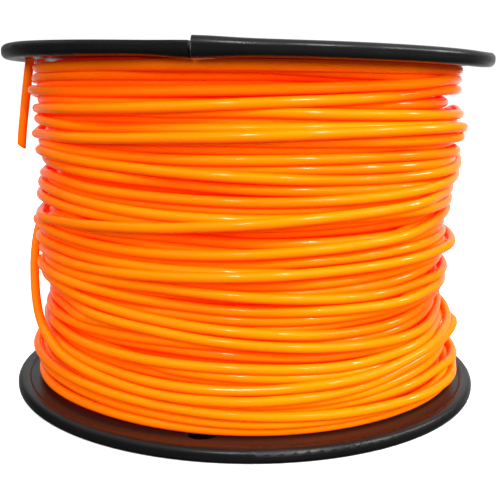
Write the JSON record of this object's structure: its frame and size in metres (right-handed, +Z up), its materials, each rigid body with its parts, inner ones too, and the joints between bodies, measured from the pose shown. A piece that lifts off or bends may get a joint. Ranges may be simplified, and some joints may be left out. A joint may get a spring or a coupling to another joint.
{
  "type": "filament spool",
  "caption": "Black flanged reel with round hub bore, wound with glossy orange 3 mm plastic filament; loose end threaded through the upper flange.",
  "frame": {"origin": "centre of the lower rim's resting plane, on the reel's axis", "axes": "+Z up along the reel's axis; -Y is the front, with the slit; -X is the side where the filament's loose end hangs"},
  "size_m": [0.16, 0.16, 0.1139],
  "materials": {
    "flange": "satin moulded black",
    "barrel": "satin moulded black",
    "filament": "glossy extruded, slightly translucent orange"
  },
  "bodies": {
    "root": {"lower_flange": "flange", "upper_flange": "flange", "barrel": "barrel", "filament_core": "filament", "filament_turns": "filament", "filament_tail": "filament"}
  },
  "joints": []
}
